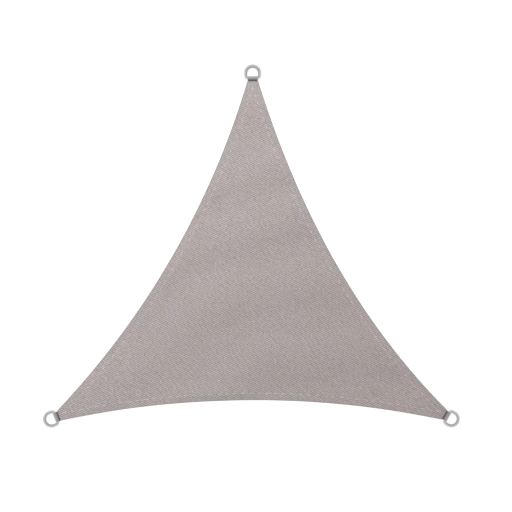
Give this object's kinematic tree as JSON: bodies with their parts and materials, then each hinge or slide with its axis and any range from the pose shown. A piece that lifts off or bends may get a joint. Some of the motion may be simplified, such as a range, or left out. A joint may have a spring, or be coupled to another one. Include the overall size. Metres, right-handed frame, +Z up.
{
  "type": "triangular shade sail",
  "caption": "Triangular knitted sun shade sail with inward-curved hemmed edges, a webbing strap under each corner and a D-ring in each strap, lying flat.",
  "frame": {"origin": "under the middle of the whole sail, on the surface that it lies on", "axes": "+X along the bottom edge towards its right corner, +Y towards the top corner, +Z up out of the cloth's top face"},
  "size_m": [2.1343, 1.8574, 0.0197],
  "materials": {
    "cloth": "warm grey knitted polyethylene shade cloth, matt",
    "webbing": "grey ribbed polyester webbing, matt",
    "steel": "bent round steel bar, satin"
  },
  "bodies": {
    "root": {"sail_cloth": "cloth", "strap_top": "webbing", "strap_left": "webbing", "strap_right": "webbing", "ring_top": "steel", "ring_left": "steel", "ring_right": "steel"}
  },
  "joints": []
}
